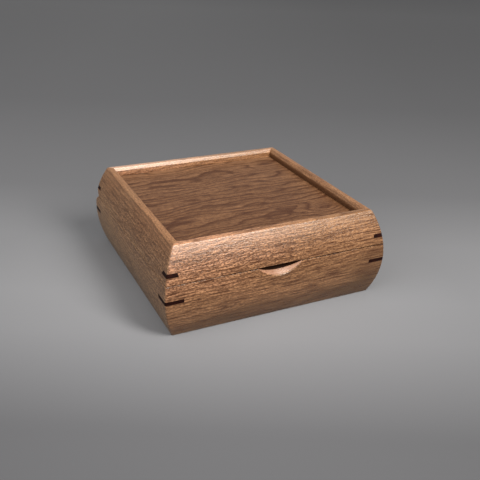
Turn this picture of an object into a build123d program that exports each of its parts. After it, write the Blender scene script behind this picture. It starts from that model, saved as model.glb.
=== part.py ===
"""A square walnut keepsake box with a hinged lid.

Four mitred walls make the base and four mitred rails make the lid. Their outer faces bow outwards in one
arc from the foot to the rim. A dark spline locks each mitre, once in the base and once in the lid. The lid
carries a panel sunk below its bevelled rim, and swings on two brass butt hinges whose barrels lie in a
V-groove cut along the back edge. A scoop in the front wall's top edge lets a finger lift the lid.

Frame: millimetres, +Z up, the front towards -Y, the origin on the table under the middle of the box.
"""

from build123d import *

import os
from math import asin, cos, degrees, radians, sin, sqrt, tan

# Box
box_width = 200.0  # along X, across the widest line of the bow
box_depth = 200.0  # along Y, likewise
box_height = 78.0
bow_height = 36.3  # height of the widest line above the table
wall = 17.5  # from the widest line to the inner face
rim_flat = 3.3  # width of the rim's flat, between its outer rounding and its inner bevel
rim_round = 2.5  # radius of the rim's outer edge
rim_bevel_width = 2.1  # of the bevel that leads from the rim's flat down to the inner face
rim_bevel_depth = 2.9
rim_arris = 0.6  # radius between the rim's flat and its bevel
foot_round = 1.5  # radius of the foot's outer edge
corner_ease = 0.8  # chamfer along the mitred corners
inner_ease = 0.5  # chamfer along the inner edges of the parting line

# Parting between base and lid
base_height = 48.9  # height of the middle of the parting line
lid_gap = 0.3  # between the closed lid and the base
parting_ease = 0.35  # chamfer on both sides of the parting line

# Splines across the mitres
spline_thickness = 3.2
base_spline_height = 34.8
base_spline_reach = 15.4  # from the corner of the widest line along each side
lid_spline_height = 56.8
lid_spline_reach = 14.0

# Finger scoop in the front wall
scoop_width = 42.5  # at the parting line
scoop_drop = 9.6  # below the parting line, at the front face
scoop_slope = 38.0  # degrees, rising into the wall
scoop_offset = -2.0  # from the middle of the front

# Panels
bottom_thickness = 6.0
bottom_height = 6.0  # of the bottom panel's underside above the table
bottom_tongue = 5.0  # how far it reaches into the walls
liner_thickness = 1.2
liner_margin = 0.5  # between the liner and the walls
panel_sink = 7.4  # of the lid panel's face below the rim
panel_thickness = 6.0
panel_tongue_thickness = 3.2
panel_tongue = 4.2  # how far the tongue reaches past the field's edge line
panel_play = 0.6  # room for the panel to move across its grain, on each side

# Hinges
groove_depth = 7.5  # of the V-groove, inwards from the back face at the parting line
base_bevel = 35.0  # degrees, between the V-groove's lower side and the parting line
lid_bevel = 44.0  # likewise for the upper side
hinge_length = 38.0
hinge_inset = 44.0  # of each hinge's middle from the side of the box
leaf_width = 8.0  # from the pin's axis to the leaf's front edge
leaf_thickness = 1.4
barrel_radius = 2.4
pin_radius = 1.1
pin_clearance = 0.05
knuckle_count = 3
knuckle_gap = 0.2
barrel_clearance = 0.4  # between the barrel and the wood, and the other leaf
mortise_clearance = 0.1  # at the leaf's ends and front edge
screw_count = 2
screw_pitch = 22.0
screw_head_radius = 2.0
screw_radius = 1.0
screw_length = 8.5
screw_clearance = 0.05
screw_slot_width = 0.5
screw_slot_depth = 0.5

rim_inset = wall - rim_bevel_width - rim_flat  # from the widest line to the middle of the rim's rounding
rim_rise = box_height - rim_round - bow_height
bow_radius = (rim_inset**2 + rim_rise**2 - rim_round**2) / (2 * (rim_inset - rim_round))
half_width = box_width / 2
half_depth = box_depth / 2
inner_half_width = half_width - wall
inner_half_depth = half_depth - wall
base_top = base_height - lid_gap / 2
lid_bottom = base_height + lid_gap / 2
bottom_top = bottom_height + bottom_thickness
panel_top = box_height - panel_sink
panel_bottom = panel_top - panel_thickness


def bow_inset(height):
    """How far the outer face lies inside its widest line, at a height."""
    return bow_radius - sqrt(bow_radius**2 - (height - bow_height) ** 2)


back_face = half_depth - bow_inset(base_height)
groove_apex = back_face - groove_depth
pin_y = groove_apex + barrel_radius  # the barrel just clears the V-groove's apex
screw_y = pin_y - (leaf_width + barrel_radius + barrel_clearance) / 2
scoop_low = base_height - scoop_drop
scoop_face = -(half_depth - bow_inset(scoop_low))
scoop_radius = ((scoop_width / 2) ** 2 + (scoop_drop * cos(radians(scoop_slope))) ** 2) / (
    2 * scoop_drop * cos(radians(scoop_slope))
)
SIDES = ("front", "right", "back", "left")
CORNERS = {"front_left": (-1, -1), "front_right": (1, -1), "back_right": (1, 1), "back_left": (-1, 1)}
HINGES = {"left_hinge": hinge_inset - half_width, "right_hinge": half_width - hinge_inset}


def slab(low, high, x=2 * box_width, y=2 * box_depth):
    """A plate centred on the Z axis, from one height to another."""
    return Pos(0, 0, (low + high) / 2) * Box(x, y, high - low)


def bowed_prism(plane, half, length):
    """The box's outline in one upright plane, drawn out along the plane's normal, with its edges sharp."""
    foot = half - bow_inset(0)
    rim = half - bow_inset(box_height)
    outline = (
        Line((-foot, 0), (foot, 0))
        + ThreePointArc((foot, 0), (half, bow_height), (rim, box_height))
        + Line((rim, box_height), (-rim, box_height))
        + ThreePointArc((-rim, box_height), (-half, bow_height), (-foot, 0))
    )
    return extrude(plane * make_face(outline), amount=length, both=True)


def strip(inner, low, high, reach):
    """A rectangle that lies across a wall's inner face, in the plane of its section."""
    return Pos(inner, (low + high) / 2) * Rectangle(2 * reach, high - low)


def corners(section, level):
    """The inner and the outer corner at the bottom (level 0) or the top (level -1) of a section."""
    return section.vertices().group_by(Axis.Y)[level].sort_by(Axis.X)


def wall_section(half, part):
    """The base's or the lid's wall cut across, with X pointing outwards and Y up."""
    inner = half - wall
    foot = half - bow_inset(0)
    rim = half - bow_inset(box_height)
    section = make_face(
        Line((inner, 0), (foot, 0))
        + ThreePointArc((foot, 0), (half, bow_height), (rim, box_height))
        + Polyline(
            (rim, box_height),
            (inner + rim_bevel_width, box_height),
            (inner, box_height - rim_bevel_depth),
            (inner, 0),
        )
    )
    if part == "base":
        section &= strip(inner, -box_height, base_top, 2 * wall)
        section = fillet(corners(section, 0)[1], foot_round)
        parting = -1
        groove = strip(inner, bottom_height, bottom_top, bottom_tongue)
    else:
        section &= strip(inner, lid_bottom, 2 * box_height, 2 * wall)
        section = fillet(corners(section, -1)[1], rim_round)
        section = fillet(corners(section, -1)[0], rim_arris)
        parting = 0
        groove = strip(inner, panel_bottom, panel_bottom + panel_tongue_thickness, panel_tongue)
    section = chamfer(corners(section, parting)[1], parting_ease)
    section = chamfer(corners(section, parting)[0], inner_ease)
    return section - groove


def mitred_wall(side, part):
    """One wall of the base, or one rail of the lid, mitred at 45 degrees at both ends."""
    along, across = (half_width, half_depth) if side in ("front", "back") else (half_depth, half_width)
    plane = Plane(origin=(0, 0, 0), x_dir=(0, -1, 0), z_dir=(-1, 0, 0))
    board = extrude(plane * wall_section(across, part), amount=2 * along, both=True)
    plan = make_face(
        Polyline(
            (-along - wall, -across - wall),
            (along + wall, -across - wall),
            (along - 2 * wall, 2 * wall - across),
            (2 * wall - along, 2 * wall - across),
            close=True,
        )
    )
    return Rot(0, 0, 90 * SIDES.index(side)) * (board & extrude(plan, amount=2 * box_height, both=True))


def corner_shaving(corner):
    """What easing takes off one mitred corner: it follows the corner's bow at an even distance."""
    outward = Vector(*CORNERS[corner], 0).normalized()
    plane = Plane(origin=(0, 0, 0), x_dir=outward, z_dir=outward.cross(Vector(0, 0, 1)))
    centre = (half_width + half_depth - 2 * bow_radius - corner_ease) / sqrt(2)
    low = degrees(asin(-(bow_height + foot_round) / bow_radius))
    high = degrees(asin((box_height - bow_height) / bow_radius))
    arc = EllipticalCenterArc(
        (centre, bow_height), sqrt(2) * bow_radius, bow_radius, start_angle=low, arc_size=high - low
    )
    outside = half_width + half_depth
    rest = Polyline(arc @ 1, (outside, (arc @ 1).Y), (outside, (arc @ 0).Y), arc @ 0)
    return extrude(plane * make_face(arc + rest), amount=wall, both=True)


def v_groove():
    """The groove along the back edge, in which the hinges' barrels lie."""
    reach = half_depth + wall - groove_apex
    section = make_face(
        Polyline(
            (groove_apex, base_height),
            (groove_apex + reach, base_height - reach * tan(radians(base_bevel))),
            (groove_apex + reach, base_height + reach * tan(radians(lid_bevel))),
            close=True,
        )
    )
    return extrude(Plane.YZ * section, amount=box_width, both=True)


def spline_prism(corner, height, reach):
    """The saw slot across one mitre, which its spline fills; it runs out beyond the box."""
    sign_x, sign_y = CORNERS[corner]
    plan = make_face(
        Polyline(
            (sign_x * (half_width + wall), sign_y * (half_depth + wall)),
            (sign_x * (half_width - reach - wall), sign_y * (half_depth + wall)),
            (sign_x * (half_width + wall), sign_y * (half_depth - reach - wall)),
            close=True,
        )
    )
    return Pos(0, 0, height - spline_thickness / 2) * extrude(plan, amount=spline_thickness, dir=(0, 0, 1))


def finger_scoop():
    """A drum laid on a slope, which leaves a crescent on the front face."""
    slope = radians(scoop_slope)
    lowest = Vector(scoop_offset, scoop_face, scoop_low)
    axis = Vector(0, cos(slope), sin(slope))
    centre = lowest + Vector(0, -sin(slope), cos(slope)) * scoop_radius
    return Plane(origin=centre, x_dir=(1, 0, 0), z_dir=axis) * Cylinder(scoop_radius, 4 * wall)


def barrel(radius, length, x=0.0):
    """A cylinder along the hinge pin's axis."""
    return Pos(x, pin_y, base_height) * Rot(0, 90, 0) * Cylinder(radius, length)


def screw_places(middle):
    first = middle - screw_pitch * (screw_count - 1) / 2
    return [first + screw_pitch * number for number in range(screw_count)]


def screw_body(margin):
    """A countersunk screw standing head up at the origin; a margin turns it into its hole."""
    head = screw_head_radius + margin
    shank = screw_radius + margin
    tip = screw_length + margin
    outline = Polyline((0, 0), (head, 0), (shank, shank - head), (shank, -tip), (0, -tip), close=True)
    return revolve(Plane.XZ * make_face(outline), Axis.Z)


def placed_screw(tool, x, half):
    """Turns a screw or its hole to face out of the base, or out of the lid."""
    if half == "base":
        return Pos(x, screw_y, base_top) * tool
    return Pos(x, screw_y, lid_bottom) * Rot(180, 0, 0) * tool


def leaf_heights(half):
    if half == "base":
        return base_top - leaf_thickness, base_top
    return lid_bottom, lid_bottom + leaf_thickness


def hinge_cut(middle, half):
    """What one hinge takes out of the base or the lid: the leaf's mortise, barrel room and screw holes."""
    low, high = leaf_heights(half)
    front_edge = pin_y - leaf_width - mortise_clearance
    length = hinge_length + 2 * mortise_clearance
    mortise = Pos(middle, (front_edge + pin_y) / 2, 0) * slab(low, high, length, pin_y - front_edge)
    cut = mortise + barrel(barrel_radius + barrel_clearance, length, middle)
    for x in screw_places(middle):
        cut += placed_screw(screw_body(screw_clearance), x, half)
    return cut


def hinge_leaf(middle, half):
    """A leaf with its knuckles: the odd ones belong to the base, the even ones to the lid."""
    low, high = leaf_heights(half)
    pitch = hinge_length / knuckle_count
    plate = Pos(middle, pin_y - leaf_width / 2, 0) * slab(low, high, hinge_length, leaf_width)
    other = plate - barrel(barrel_radius + barrel_clearance, hinge_length + 1, middle)
    for number in range(knuckle_count):
        if (number % 2 == 0) == (half == "base"):
            x = middle + (number + 0.5) * pitch - hinge_length / 2
            length = pitch - knuckle_gap
            bridge = plate & Pos(x, 0, 0) * slab(low, high, length)
            other += bridge + barrel(barrel_radius, length, x)
    leaf = other - barrel(pin_radius + pin_clearance, hinge_length + 1, middle)
    for x in screw_places(middle):
        leaf -= placed_screw(screw_body(screw_clearance), x, half)
    return leaf


def hinge_pin(middle):
    return barrel(pin_radius, hinge_length, middle)


def hinge_screws(middle, half):
    """The leaf's screws, each a solid of its own, with straight slots turned at random by hand."""
    slot = slab(-screw_slot_depth, screw_slot_depth, 3 * screw_head_radius, screw_slot_width)
    screws = []
    for number, x in enumerate(screw_places(middle)):
        screw = screw_body(0) - Rot(0, 0, 35 + 50 * number) * slot
        screws.append(placed_screw(screw, x, half))
    return Compound(children=screws)


def make_lid_panel():
    """A field that stands in the frame's opening, with a thinner tongue in the rails' groove."""
    field_x = 2 * (inner_half_width - panel_play)
    field_y = 2 * (inner_half_depth - panel_play)
    field = slab(panel_bottom, panel_top, field_x, field_y)
    tongue = slab(
        panel_bottom,
        panel_bottom + panel_tongue_thickness,
        2 * (inner_half_width + panel_tongue - panel_play),
        2 * (inner_half_depth + panel_tongue - panel_play),
    )
    rim = field.faces().sort_by(Axis.Z)[-1].edges()
    return chamfer(rim, parting_ease) + tongue


def floor_plate(low, high, reach):
    """A plate inside the base that reaches past its inner faces by a length, or stays short of them."""
    return slab(low, high, 2 * (inner_half_width + reach), 2 * (inner_half_depth + reach))


def make_nodes():
    outline = bowed_prism(Plane.XZ, half_width, box_depth) & bowed_prism(Plane.YZ, half_depth, box_width)
    nodes = {}

    base_cuts = [v_groove()]
    lid_cuts = [v_groove()]
    for corner in CORNERS:
        shaving = corner_shaving(corner)
        base_slot = spline_prism(corner, base_spline_height, base_spline_reach)
        lid_slot = spline_prism(corner, lid_spline_height, lid_spline_reach)
        nodes[f"base_spline_{corner}"] = (outline & base_slot) - shaving
        nodes[f"lid_spline_{corner}"] = (outline & lid_slot) - shaving
        base_cuts += [shaving, base_slot]
        lid_cuts += [shaving, lid_slot]
    for name, middle in HINGES.items():
        base_cuts.append(hinge_cut(middle, "base"))
        lid_cuts.append(hinge_cut(middle, "lid"))
        nodes[f"{name}_base_leaf"] = hinge_leaf(middle, "base")
        nodes[f"{name}_lid_leaf"] = hinge_leaf(middle, "lid")
        nodes[f"{name}_pin"] = hinge_pin(middle)
        nodes[f"{name}_base_screws"] = hinge_screws(middle, "base")
        nodes[f"{name}_lid_screws"] = hinge_screws(middle, "lid")

    for side in SIDES:
        nodes[f"base_{side}_wall"] = mitred_wall(side, "base") - base_cuts
        nodes[f"lid_{side}_rail"] = mitred_wall(side, "lid") - lid_cuts
    nodes["base_front_wall"] -= finger_scoop()

    nodes["bottom_panel"] = floor_plate(bottom_height, bottom_top, bottom_tongue)
    nodes["floor_liner"] = floor_plate(bottom_top, bottom_top + liner_thickness, -liner_margin)
    nodes["lid_panel"] = make_lid_panel()
    return nodes


os.makedirs("parts", exist_ok=True)
for node, shape in make_nodes().items():
    export_step(shape, f"parts/{node}.step")
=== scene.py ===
import bmesh
import bpy
from mathutils import Matrix, Vector


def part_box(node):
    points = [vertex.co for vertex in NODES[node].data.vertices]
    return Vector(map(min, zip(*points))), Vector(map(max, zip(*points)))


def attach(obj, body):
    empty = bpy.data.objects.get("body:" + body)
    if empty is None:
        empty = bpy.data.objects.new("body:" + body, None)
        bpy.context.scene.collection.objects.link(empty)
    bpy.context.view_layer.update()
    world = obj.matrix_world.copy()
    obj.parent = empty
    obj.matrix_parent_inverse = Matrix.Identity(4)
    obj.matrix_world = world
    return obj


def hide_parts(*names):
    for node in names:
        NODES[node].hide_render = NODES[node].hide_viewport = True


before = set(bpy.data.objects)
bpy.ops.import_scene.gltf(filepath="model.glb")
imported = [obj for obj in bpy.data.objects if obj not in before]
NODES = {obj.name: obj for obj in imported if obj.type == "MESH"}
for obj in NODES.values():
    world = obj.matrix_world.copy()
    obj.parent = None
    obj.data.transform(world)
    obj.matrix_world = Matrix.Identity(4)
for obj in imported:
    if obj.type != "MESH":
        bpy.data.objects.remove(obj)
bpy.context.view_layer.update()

MM = 0.001

# Camera, fitted to the photograph: place in metres, right and up axes, sensor and lens in millimetres
CAMERA_PLACE = Vector((-0.24057, -0.50596, 0.30028))
CAMERA_RIGHT = Vector((0.90228, -0.43000, 0.03147))
CAMERA_UP = Vector((0.16415, 0.41009, 0.89715))
CAMERA_SENSOR = 36.0
CAMERA_LENS = 50.03

# Sizes from the frame, in millimetres
HALF_WIDTH = -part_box("base_left_wall")[0].x / MM
LID_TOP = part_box("lid_front_rail")[1].z / MM
PARTING_HEIGHT = (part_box("base_front_wall")[1].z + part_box("lid_front_rail")[0].z) / 2 / MM
RAIL_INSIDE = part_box("lid_right_rail")[0].x / MM

# Walnut: fades of its grain, as two places on a board in millimetres and the share at each
# The grain grows fainter towards the rim, a painted highlight where the gloss washes it out
RIM_SHEEN_FADE = (66.0, 75.0, 1.0, 0.6)
FOOT_FADE = (12.0, 50.0, 0.45, 1.0)
END_FADE = (10.0, 90.0, 1.0, 0.6)

# Walnut: lengths and widths of its features in millimetres
CLOUD_SIZE = (60.0, 16.0)
SLOW_BEND_SIZE = (80.0, 24.0)
QUICK_BEND_SIZE = (22.0, 3.0)
PORE_SIZE = (3.0, 0.4)

# Walnut: the noise values at which a feature starts and is full, and the range that most noise fills
STREAK_RANGE = (0.56, 0.36)
FLECK_RANGE = (0.57, 0.41)
PORE_RANGE = (0.60, 0.68)
NOISE_RANGE = (0.3, 0.7)

# Walnut: how much clouds change the tone, how dark pores are, and how deep flecks and streaks lie in metres
CLOUD_SHARE = 0.13
PORE_SHARE = 0.6
FLECK_RELIEF = 0.25 * MM
STREAK_RELIEF = 0.08 * MM

# Darkness over one growth ring
RING_PROFILE = ((0.0, 0.0), (0.5, 0.2), (0.82, 1.0), (1.0, 0.0))

# Swirls of the growth lines: place along and across the board, length, width, and rings that they turn
FRONT_SWIRLS = ((-58.0, 16.0, 30.0, 12.0, 4.0),)
PANEL_SWIRLS = ((66.0, -58.0, 34.0, 20.0, 3.0), (-62.0, -62.0, 60.0, 30.0, 2.5))

# Depth at which the front board is cut from the grain, in millimetres
FRONT_SHIFT = 113.0

# Painted shade in the parting line: depth of the bow that it covers, half its width where it starts
# and where it is full, in millimetres, and its fade along the front
PARTING_SHADE_DEPTH = 1.4
PARTING_SHADE_EDGE = (0.42, 0.3)
PARTING_SHADE_FADE = (-90.0, -30.0, 0.5, 0.9)

# Finger scoop, in millimetres: middle and half length along X, depths behind the front and below the
# parting line that hold it, and the share of the pale colour, which is painted light on its upward slope
SCOOP_MIDDLE = -2.0
SCOOP_HALF = 23.0
SCOOP_DEPTH = (1.1, 14.0)
SCOOP_DROP = (0.3, 10.4)
SCOOP_LIGHT_SHARE = 0.6

# Painted shadow of the lid on the scoop's part under the lid: slope of its edge, depths at which it
# starts and is full, and darkness
LID_SHADOW_SLOPE = 1.6
LID_SHADOW_EDGE = (1.46, 2.46)
LID_SHADOW_SHARE = 0.95

# The right rail's inner face: depth into the rail, depths below the rim where the shade starts, is full
# and ends, in millimetres, and darkness
RECESS_INTO = 1.5
RECESS_EDGE = (2.2, 5.0)
RECESS_FOOT = 12.0
RECESS_SHARE = 0.75

# Painted highlight on the back rail's rim: depths below the top where it starts and is full, and its
# fade along the rail
RIM_HIGHLIGHT_EDGE = (3.0, 0.5)
RIM_HIGHLIGHT_FADE = (-90.0, 60.0, 0.6, 0.1)

# Specular level of the front and back boards, and its fade with the front's painted shade
BOARD_SPECULAR = 0.75
GAP_SHADE_FADE = (0.0, 0.5, BOARD_SPECULAR, 0.02)

# Felt liner: radius of its rounded edges in millimetres, cuts over each long side, and the nap's share
LINER_ROUNDING = 0.35
LINER_CUTS = 24
NAP_SHARE = 0.85

# Colours, as sRGB bytes; tones run from low to high
FRONT_TONES = ((94, 68, 40), (179, 130, 90), (209, 151, 114))
# The sides' tones are partly painted shade, set for the weaker light on the sides
SIDE_SHADED_TONES = ((152, 126, 99), (170, 133, 98), (164, 119, 84))
PANEL_TONES = ((100, 67, 43), (126, 89, 60), (150, 109, 77))
# Dark of the grain, also used for the painted shade on the right rail's inner face
GRAIN_AND_SHADE_DARK = (70, 38, 16)
PORE_DARK = (56, 28, 16)
# Painted light on the scoop's upward slope
SCOOP_PAINTED_LIGHT = (186, 138, 112)
# Painted highlight along the back rail's top
RIM_HIGHLIGHT_PALE = (226, 186, 160)
# Painted shade in the front's parting line and under the lid
GAP_SHADE_DARK = (20, 9, 6)
SPLINE_DARK = (20, 7, 6)
SPLINE_LIGHT = (50, 20, 14)
BRASS = (206, 164, 96)
BRASS_DARK = (150, 108, 56)
FELT_DARK = (44, 28, 20)
FELT_LIGHT = (92, 63, 47)

# Linear tints of the oiled wood's gloss, the warm lamps and the world
OIL_TINT = (1.0, 0.95, 0.87, 1.0)
WARM = (1.0, 0.98, 0.95)
WORLD_TINT = (1.0, 0.995, 0.985, 1.0)

# Floor: half its width in metres, and its directions along and across the photograph's view
FLOOR_REACH = 8.0
FLOOR_ALONG = Vector((0.444, 0.896, 0.0))
FLOOR_ACROSS = Vector((0.896, -0.444, 0.0))

# Floor, whose greys are painted light that falls off with distance: the nearest and farthest distance at
# which its grey changes, and its grey values between them, in metres from the point under the camera
FLOOR_NEAR = 0.3
FLOOR_FAR = 2.5
FLOOR_FALLOFF_GREYS = ((0.33, 104), (0.44, 136), (0.5, 144), (0.61, 144), (0.75, 127), (1.15, 125), (2.4, 154))

# Floor: middle of its pool of painted light, and the fades out of the pool and from left to right, in
# metres
LIGHT_POOL_MIDDLE = Vector((-0.06, -0.08, 0.0))
LIGHT_POOL_FADE = (0.05, 0.24, 1.0, 0.78)
SIDE_LIGHT_FADE = (-0.35, 0.35, 1.02, 0.86)

# The world's strength as light, and where the camera sees it past the floor
WORLD_LIGHT = 0.35
FAR_LIGHT = 0.09


def linear(colour):
    """An sRGB byte colour as linear RGBA."""
    return tuple((c / 255) ** 2.2 for c in colour) + (1.0,)


class Tree:
    """A material's node tree, with one call for each node."""

    def __init__(self, name):
        self.material = bpy.data.materials.new(name)
        self.material.use_nodes = True
        self.nodes = self.material.node_tree.nodes
        self.links = self.material.node_tree.links
        self.shader = self.nodes["Principled BSDF"]

    def put(self, socket, value):
        """Links an input or sets it; None leaves it alone."""
        if isinstance(value, bpy.types.NodeSocket):
            self.links.new(value, socket)
        elif value is not None:
            socket.default_value = value

    def add(self, kind, *inputs, **settings):
        """Adds a node, sets its properties, and fills its inputs in order."""
        node = self.nodes.new("ShaderNode" + kind)
        for key, value in settings.items():
            setattr(node, key, value)
        for number, value in enumerate(inputs):
            self.put(node.inputs[number], value)
        return node

    def fill(self, node, **inputs):
        """Fills a node's inputs by name."""
        for name, value in inputs.items():
            self.put(node.inputs[name], value)
        return node

    def surface(self, name, value):
        """Fills one of the shader's inputs."""
        self.put(self.shader.inputs[name], value)

    def split(self, vector):
        """A vector's three parts."""
        return tuple(self.add("SeparateXYZ", vector).outputs)

    def math(self, operation, *inputs):
        return self.add("Math", *inputs, operation=operation).outputs[0]

    def product(self, first, *others):
        for other in others:
            first = self.math("MULTIPLY", first, other)
        return first

    def plus(self, value, amount, share):
        """A value with a share of an amount added."""
        return self.math("ADD", value, self.math("MULTIPLY", amount, share))

    def measure(self, operation, place, other):
        """A distance or dot product of two vectors."""
        return self.add("VectorMath", place, other, operation=operation).outputs["Value"]

    def between(self, value, low, high, first=0.0, last=1.0):
        """Maps a value from one range to another, and holds it there."""
        return self.add("MapRange", value, low, high, first, last).outputs[0]

    def within(self, value, low, high):
        """1 where a value lies between two limits, and 0 elsewhere."""
        return self.product(self.math("GREATER_THAN", value, low), self.math("LESS_THAN", value, high))

    def noise(self, board, size, detail, roughness):
        """Noise whose features have a length along the board and a width across it, in millimetres."""
        along, across = size
        place = self.add("Mapping", board, None, None, (1 / along, 1 / across, 1 / across)).outputs[0]
        node = self.fill(self.add("TexNoise"), Vector=place, Scale=1.0, Detail=detail, Roughness=roughness)
        return node.outputs["Fac"]

    def ramp(self, value, *stops):
        """A colour ramp; each stop is (place, sRGB bytes or grey value)."""
        node = self.add("ValToRGB", value)
        elements = node.color_ramp.elements
        for number, (place, colour) in enumerate(stops):
            element = elements[number] if number < 2 else elements.new(place)
            element.position = place
            element.color = linear(colour) if isinstance(colour, tuple) else (colour,) * 3 + (1.0,)
        return node.outputs["Color"]

    def mix(self, factor, first, second):
        """Mixes two colours, which are a Mix node's inputs 6 and 7."""
        node = self.add("Mix", factor, data_type="RGBA")
        self.put(node.inputs[6], first)
        self.put(node.inputs[7], second)
        return node.outputs[2]

    def bump(self, height, depth, normal=None):
        node = self.fill(self.add("Bump"), Strength=1.0, Distance=depth, Height=height, Normal=normal)
        return node.outputs["Normal"]


def board_coordinates(tree, axes, shift=(0.0, 0.0, 0.0)):
    """Object coordinates in millimetres as (along the grain, across it, into the board)."""
    parts = tree.split(tree.add("TexCoord").outputs["Object"])
    order = [parts["XYZ".index(axis)] for axis in axes]
    joined = tree.add("CombineXYZ", *order).outputs[0]
    return tree.add("Mapping", joined, shift, None, (1 / MM, 1 / MM, 1 / MM)).outputs[0]


def slanting_tone(tree, board, tones, slant, end_share):
    """The colour under the grain: its tone rises across the board between the slant's two places.

    Along the board it falls from its whole value to end_share, and soft clouds change it everywhere.
    """
    along, across, _ = tree.split(board)
    cloud = tree.noise(board, CLOUD_SIZE, detail=2.0, roughness=0.5)
    tone = tree.between(along, HALF_WIDTH, -HALF_WIDTH, end_share, 1.0)
    tone = tree.product(tone, tree.between(across, *slant))
    tone = tree.math("ADD", tone, tree.between(cloud, *NOISE_RANGE, -CLOUD_SHARE, CLOUD_SHARE))
    return tree.ramp(tone, *zip((0.0, 0.5, 1.0), tones))


def growth_lines(tree, board, ring, tilt, warp, ripple, swirls):
    """Late-wood lines along the board, tilted, bent by slow and quick noise and led round swirls."""
    along, across, _ = tree.split(board)
    phase = tree.math("DIVIDE", tree.plus(across, along, -tilt), ring)
    phase = tree.plus(phase, tree.noise(board, SLOW_BEND_SIZE, detail=2.0, roughness=0.45), warp)
    phase = tree.plus(phase, tree.noise(board, QUICK_BEND_SIZE, detail=3.0, roughness=0.6), ripple)
    for middle, height, length, width, turns in swirls:
        place = (-middle / length, -height / width, 0.0)
        spot = tree.add("Mapping", board, place, None, (1 / length, 1 / width, 0.0)).outputs[0]
        bell = tree.add("TexGradient", spot, gradient_type="SPHERICAL").outputs["Fac"]
        phase = tree.plus(phase, bell, turns)
    return tree.ramp(tree.math("FRACT", phase), *RING_PROFILE)


def walnut(name, axes, shift, tones, slant, end_share, ring=3.2, tilt=0.08, warp=5.0, ripple=1.3,
           swirls=(), lines=0.5, streaks=0.8, streak_size=(20.0, 1.2), flecks=0.9, fleck_size=(2.0, 0.9),
           fleck_fade=None, roughness=(0.24, 0.38)):
    """Oiled walnut, as (tree, board, colour), with growth lines, streaks, flecks and pores.

    The growth lines lie ring millimetres apart and rise by tilt along the board, and slow and quick noise
    bends them by warp and ripple rings. The numbers lines, streaks and flecks say how dark each of them is.
    """
    tree = Tree(name)
    board = board_coordinates(tree, axes, shift)
    along, across, _ = tree.split(board)
    # Painted highlight: streaks and flecks grow fainter towards the rim
    rim = tree.between(across, *RIM_SHEEN_FADE)
    dark = linear(GRAIN_AND_SHADE_DARK)
    colour = slanting_tone(tree, board, tones, slant, end_share)
    late = growth_lines(tree, board, ring, tilt, warp, ripple, swirls)
    colour = tree.mix(tree.product(late, lines), colour, dark)
    streak = tree.noise(board, streak_size, detail=4.0, roughness=0.6)
    bands = tree.product(tree.between(streak, *STREAK_RANGE, 0.0, streaks), rim)
    colour = tree.mix(bands, colour, dark)
    fleck = tree.noise(board, fleck_size, detail=3.0, roughness=0.65)
    spots = tree.between(fleck, *FLECK_RANGE, 0.0, flecks)
    if fleck_fade:
        spots = tree.product(spots, tree.between(across, *fleck_fade))
    colour = tree.mix(tree.product(spots, tree.between(along, *END_FADE), rim), colour, dark)
    pore = tree.noise(board, PORE_SIZE, detail=2.0, roughness=0.5)
    colour = tree.mix(tree.between(pore, *PORE_RANGE, 0.0, PORE_SHARE), colour, linear(PORE_DARK))
    tree.surface("Roughness", tree.between(streak, *NOISE_RANGE, *roughness))
    tree.surface("Specular Tint", OIL_TINT)
    tree.surface("Normal", tree.bump(streak, STREAK_RELIEF, tree.bump(fleck, FLECK_RELIEF)))
    return tree, board, colour


def finished(tree, colour):
    """The material, with its colour on the shader."""
    tree.surface("Base Color", colour)
    return tree.material


def parting_shade_mask(tree, board):
    """Painted shade in the parting line on the front's outer face, which grows fainter towards the left."""
    along, up, into = tree.split(board)
    distance = tree.math("ABSOLUTE", tree.math("SUBTRACT", up, PARTING_HEIGHT))
    outer = tree.math("LESS_THAN", into, FRONT_SHIFT - HALF_WIDTH + PARTING_SHADE_DEPTH)
    return tree.product(tree.between(distance, *PARTING_SHADE_EDGE), outer, tree.between(along, *PARTING_SHADE_FADE))


def scoop_masks(tree):
    """The finger scoop's surface, and the painted shadow of the lid on its part that runs in under the lid.
    """
    right, back, up = tree.split(board_coordinates(tree, "XYZ"))
    beside = tree.math("ABSOLUTE", tree.math("SUBTRACT", right, SCOOP_MIDDLE))
    behind = tree.math("ADD", back, HALF_WIDTH)
    below = tree.math("SUBTRACT", PARTING_HEIGHT, up)
    inside = tree.product(tree.math("LESS_THAN", beside, SCOOP_HALF),
                          tree.within(behind, *SCOOP_DEPTH), tree.within(below, *SCOOP_DROP))
    # Painted shadow: the lid's edge shades the scoop beyond a line that slopes with the light
    under = tree.math("SUBTRACT", tree.product(behind, LID_SHADOW_SLOPE), below)
    return inside, tree.product(inside, tree.between(under, *LID_SHADOW_EDGE), LID_SHADOW_SHARE)


def back_rim_highlight_mask(tree, board):
    """The painted highlight along the back rail's top."""
    along, up, _ = tree.split(board)
    below = tree.math("SUBTRACT", LID_TOP, up)
    return tree.product(tree.between(below, *RIM_HIGHLIGHT_EDGE), tree.between(along, *RIM_HIGHLIGHT_FADE))


def recess_mask(tree, board):
    """The shade on the right rail's inner face, over the lid panel."""
    _, up, out = tree.split(board)
    below = tree.math("SUBTRACT", LID_TOP, up)
    inner = tree.math("LESS_THAN", out, RAIL_INSIDE + RECESS_INTO)
    over_panel = tree.math("LESS_THAN", below, RECESS_FOOT)
    return tree.product(tree.between(below, *RECESS_EDGE), inner, over_panel, RECESS_SHARE)


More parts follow.
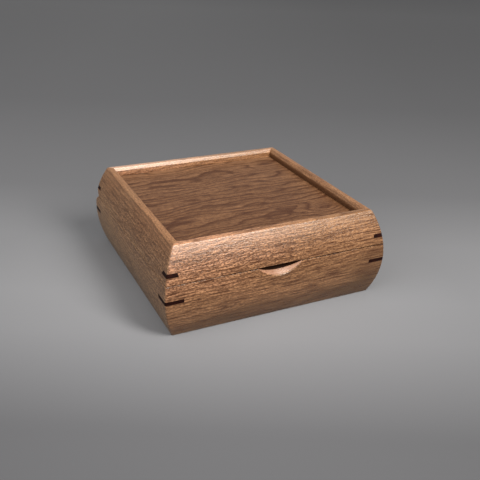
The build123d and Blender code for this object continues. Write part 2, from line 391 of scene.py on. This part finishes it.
def front_walnut():
    """The front's walnut: painted light on the scoop, and nearly black, dull painted shade in its gaps."""
    tree, board, colour = walnut("walnut_front", "XZY", (0.0, 0.0, FRONT_SHIFT), FRONT_TONES,
                                 slant=(-4.0, 62.0), end_share=0.3, swirls=FRONT_SWIRLS,
                                 lines=0.6, streaks=0.9, fleck_fade=FOOT_FADE)
    scoop, under = scoop_masks(tree)
    # Painted light: the scoop's slope, which faces up to the lamps, is painted pale
    colour = tree.mix(tree.product(scoop, SCOOP_LIGHT_SHARE), colour, linear(SCOOP_PAINTED_LIGHT))
    # Painted shade, nearly black and dull, in the parting line and where the lid shades the scoop
    gap = tree.math("MAXIMUM", under, parting_shade_mask(tree, board))
    tree.surface("Specular IOR Level", tree.between(gap, *GAP_SHADE_FADE))
    return finished(tree, tree.mix(gap, colour, linear(GAP_SHADE_DARK)))


def back_walnut():
    tree, board, colour = walnut("walnut_back", "XZY", (10.0, 0.0, 320.0), FRONT_TONES,
                                 slant=(0.0, 62.0), end_share=0.45, fleck_fade=FOOT_FADE)
    tree.surface("Specular IOR Level", BOARD_SPECULAR)
    # Painted highlight: the back rail's top is painted pale
    return finished(tree, tree.mix(back_rim_highlight_mask(tree, board), colour, linear(RIM_HIGHLIGHT_PALE)))


def side_walnut(side, shift):
    # The sides' tones carry painted shade for their weaker light
    return walnut(f"walnut_{side}", "YZX", shift, SIDE_SHADED_TONES, slant=(5.0, 75.0), end_share=1.0, tilt=0.0,
                  warp=3.0, lines=0.45, streaks=0.6, flecks=0.8, fleck_size=(2.2, 1.0),
                  roughness=(0.42, 0.58))


def left_walnut():
    tree, _, colour = side_walnut("left", (20.0, 0.0, 40.0))
    return finished(tree, colour)


def right_walnut():
    tree, board, colour = side_walnut("right", (10.0, 0.0, 0.0))
    # Painted shade on the right rail's inner face over the lid panel
    return finished(tree, tree.mix(recess_mask(tree, board), colour, linear(GRAIN_AND_SHADE_DARK)))


def panel_walnut():
    """The lid panel's darker walnut, with broad growth lines."""
    tree, _, colour = walnut("walnut_panel", "XYZ", (0.0, 0.0, 0.0), PANEL_TONES, slant=(-250.0, 90.0),
                             end_share=0.8, ring=8.0, tilt=0.03, warp=6.0, ripple=0.6,
                             swirls=PANEL_SWIRLS, lines=1.0, streak_size=(28.0, 1.2), flecks=0.6,
                             fleck_size=(3.2, 1.0), roughness=(0.42, 0.55))
    return finished(tree, colour)


def spline_wood():
    """The splines' nearly black wood, with faint brown streaks along the spline."""
    tree = Tree("spline_wood")
    streak = tree.noise(board_coordinates(tree, "XYZ"), size=(3.0, 0.4), detail=4.0, roughness=0.6)
    tree.surface("Roughness", tree.between(streak, *NOISE_RANGE, 0.55, 0.7))
    tree.surface("Specular IOR Level", 0.12)
    tree.surface("Specular Tint", OIL_TINT)
    tree.surface("Normal", tree.bump(streak, 0.04 * MM))
    return finished(tree, tree.ramp(streak, (0.42, SPLINE_DARK), (0.66, SPLINE_LIGHT)))


def satin_brass():
    """Satin brass, brushed along the hinge, with slight tarnish."""
    tree = Tree("satin_brass")
    board = board_coordinates(tree, "XYZ")
    brushed = tree.noise(board, size=(12.0, 0.15), detail=3.0, roughness=0.6)
    tarnish = tree.noise(board, size=(5.0, 4.0), detail=4.0, roughness=0.6)
    tree.surface("Metallic", 1.0)
    tree.surface("Roughness", tree.between(brushed, *NOISE_RANGE, 0.25, 0.42))
    tree.surface("Normal", tree.bump(brushed, 0.01 * MM))
    return finished(tree, tree.ramp(tarnish, (0.4, BRASS_DARK), (0.6, BRASS)))


def felt():
    """Dense brown felt with a fibrous nap."""
    tree = Tree("felt")
    board = board_coordinates(tree, "XYZ")
    nap = tree.noise(board, size=(0.5, 0.5), detail=5.0, roughness=0.7)
    patch = tree.noise(board, size=(22.0, 22.0), detail=2.0, roughness=0.5)
    tone = tree.plus(tree.product(nap, NAP_SHARE), patch, 1 - NAP_SHARE)
    tree.surface("Roughness", 0.95)
    tree.surface("Specular IOR Level", 0.0)
    tree.surface("Normal", tree.bump(nap, 0.3 * MM))
    return finished(tree, tree.ramp(tone, (0.42, FELT_DARK), (0.58, FELT_LIGHT)))


def paint(node, material):
    mesh = NODES[node].data
    mesh.materials.clear()
    mesh.materials.append(material)


def paint_boards():
    sides = {"front": front_walnut(), "back": back_walnut(), "left": left_walnut(), "right": right_walnut()}
    for side, material in sides.items():
        paint(f"base_{side}_wall", material)
        paint(f"lid_{side}_rail", material)
    panel = panel_walnut()
    paint("lid_panel", panel)
    paint("bottom_panel", panel)


def paint_splines_and_hinges():
    spline = spline_wood()
    metal = satin_brass()
    for node in NODES:
        if "spline" in node:
            paint(node, spline)
        elif "hinge" in node:
            paint(node, metal)


def make_liner():
    """A felt sheet with softly rounded edges, laid on the bottom panel."""
    low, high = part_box("floor_liner")
    scale = high - low
    middle = (low + high) / 2
    mesh = bmesh.new()
    bmesh.ops.create_cube(mesh, size=1.0)
    for vertex in mesh.verts:
        vertex.co = vertex.co * scale + middle
    bmesh.ops.bevel(mesh, geom=mesh.edges[:], offset=LINER_ROUNDING * MM, segments=2, affect="EDGES")
    long_edges = [edge for edge in mesh.edges if edge.calc_length() > scale.x / 2]
    bmesh.ops.subdivide_edges(mesh, edges=long_edges, cuts=LINER_CUTS, use_grid_fill=True)
    data = bpy.data.meshes.new("felt_liner")
    mesh.to_mesh(data)
    mesh.free()
    for polygon in data.polygons:
        polygon.use_smooth = True
    data.materials.append(felt())
    piece = bpy.data.objects.new("felt_liner", data)
    bpy.context.scene.collection.objects.link(piece)
    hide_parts("floor_liner")
    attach(piece, "base")


def floor_material():
    """Matt grey that changes slowly over the floor, with painted light: a pool round the box and falloffs.
    """
    tree = Tree("floor")
    place = tree.add("TexCoord").outputs["Object"]
    start = FLOOR_ALONG.dot(CAMERA_PLACE)
    away = tree.measure("DOT_PRODUCT", place, FLOOR_ALONG)
    far_share = tree.between(away, start + FLOOR_NEAR, start + FLOOR_FAR)
    span = FLOOR_FAR - FLOOR_NEAR
    # Painted light: greys that fall off and rise again with distance
    stops = [((far - FLOOR_NEAR) / span, (grey, grey, grey + 2)) for far, grey in FLOOR_FALLOFF_GREYS]
    # Painted light: a pale pool round the box, and a fall in grey from left to right
    pool = tree.between(tree.measure("DISTANCE", place, LIGHT_POOL_MIDDLE), *LIGHT_POOL_FADE)
    side = tree.between(tree.measure("DOT_PRODUCT", place, FLOOR_ACROSS), *SIDE_LIGHT_FADE)
    grey = tree.add("VectorMath", tree.ramp(far_share, *stops), operation="SCALE")
    tree.fill(grey, Scale=tree.product(pool, side))
    tree.surface("Roughness", 0.9)
    tree.surface("Specular IOR Level", 0.1)
    return finished(tree, grey.outputs["Vector"])


def make_floor():
    corners = [(x * FLOOR_REACH, y * FLOOR_REACH, 0.0) for x, y in ((-1, -1), (1, -1), (1, 1), (-1, 1))]
    data = bpy.data.meshes.new("floor")
    data.from_pydata(corners, [], [(0, 1, 2, 3)])
    data.materials.append(floor_material())
    floor = bpy.data.objects.new("floor", data)
    bpy.context.scene.collection.objects.link(floor)


def make_camera():
    data = bpy.data.cameras.new("camera")
    data.sensor_width = CAMERA_SENSOR
    data.lens = CAMERA_LENS
    data.clip_start = 10 * MM
    camera = bpy.data.objects.new("camera", data)
    bpy.context.scene.collection.objects.link(camera)
    backward = CAMERA_RIGHT.cross(CAMERA_UP)
    turn = Matrix((CAMERA_RIGHT, CAMERA_UP, backward)).transposed().to_4x4()
    camera.matrix_world = Matrix.Translation(CAMERA_PLACE) @ turn
    bpy.context.scene.camera = camera


def area_light(name, place, target, size, power, colour=(1.0, 1.0, 1.0)):
    """A rectangular lamp that looks at a target; places and sizes in metres, power in watts."""
    data = bpy.data.lights.new(name, "AREA")
    data.shape = "RECTANGLE"
    data.size, data.size_y = size
    data.energy = power
    data.color = colour
    light = bpy.data.objects.new(name, data)
    bpy.context.scene.collection.objects.link(light)
    light.location = place
    light.rotation_euler = (Vector(target) - Vector(place)).to_track_quat("-Z", "Y").to_euler()


def make_lights():
    area_light("key", place=(0.1, -1.1, 1.4), target=(0, 0, 0.04), size=(2.0, 2.0), power=10.0, colour=WARM)
    area_light("softbox", place=(0.30, -0.84, 0.84), target=(0, 0, 0.06), size=(0.3, 0.7), power=16.0,
               colour=WARM)
    area_light("fill", place=(-1.2, -0.4, 1.1), target=(0, 0, 0.04), size=(1.4, 1.4), power=14.0)


def make_world():
    """Even light from all round, dimmer where the camera sees it past the floor."""
    world = bpy.data.worlds.new("studio")
    world.use_nodes = True
    nodes = world.node_tree.nodes
    background = nodes["Background"]
    background.inputs["Color"].default_value = WORLD_TINT
    background.inputs["Strength"].default_value = WORLD_LIGHT
    strength = nodes.new("ShaderNodeMapRange")
    strength.inputs["To Min"].default_value = WORLD_LIGHT
    strength.inputs["To Max"].default_value = FAR_LIGHT
    ray = nodes.new("ShaderNodeLightPath")
    world.node_tree.links.new(ray.outputs["Is Camera Ray"], strength.inputs["Value"])
    world.node_tree.links.new(strength.outputs["Result"], background.inputs["Strength"])
    bpy.context.scene.world = world


bpy.context.scene.view_settings.view_transform = "Standard"
make_camera()
make_floor()
make_lights()
make_world()
paint_boards()
paint_splines_and_hinges()
make_liner()
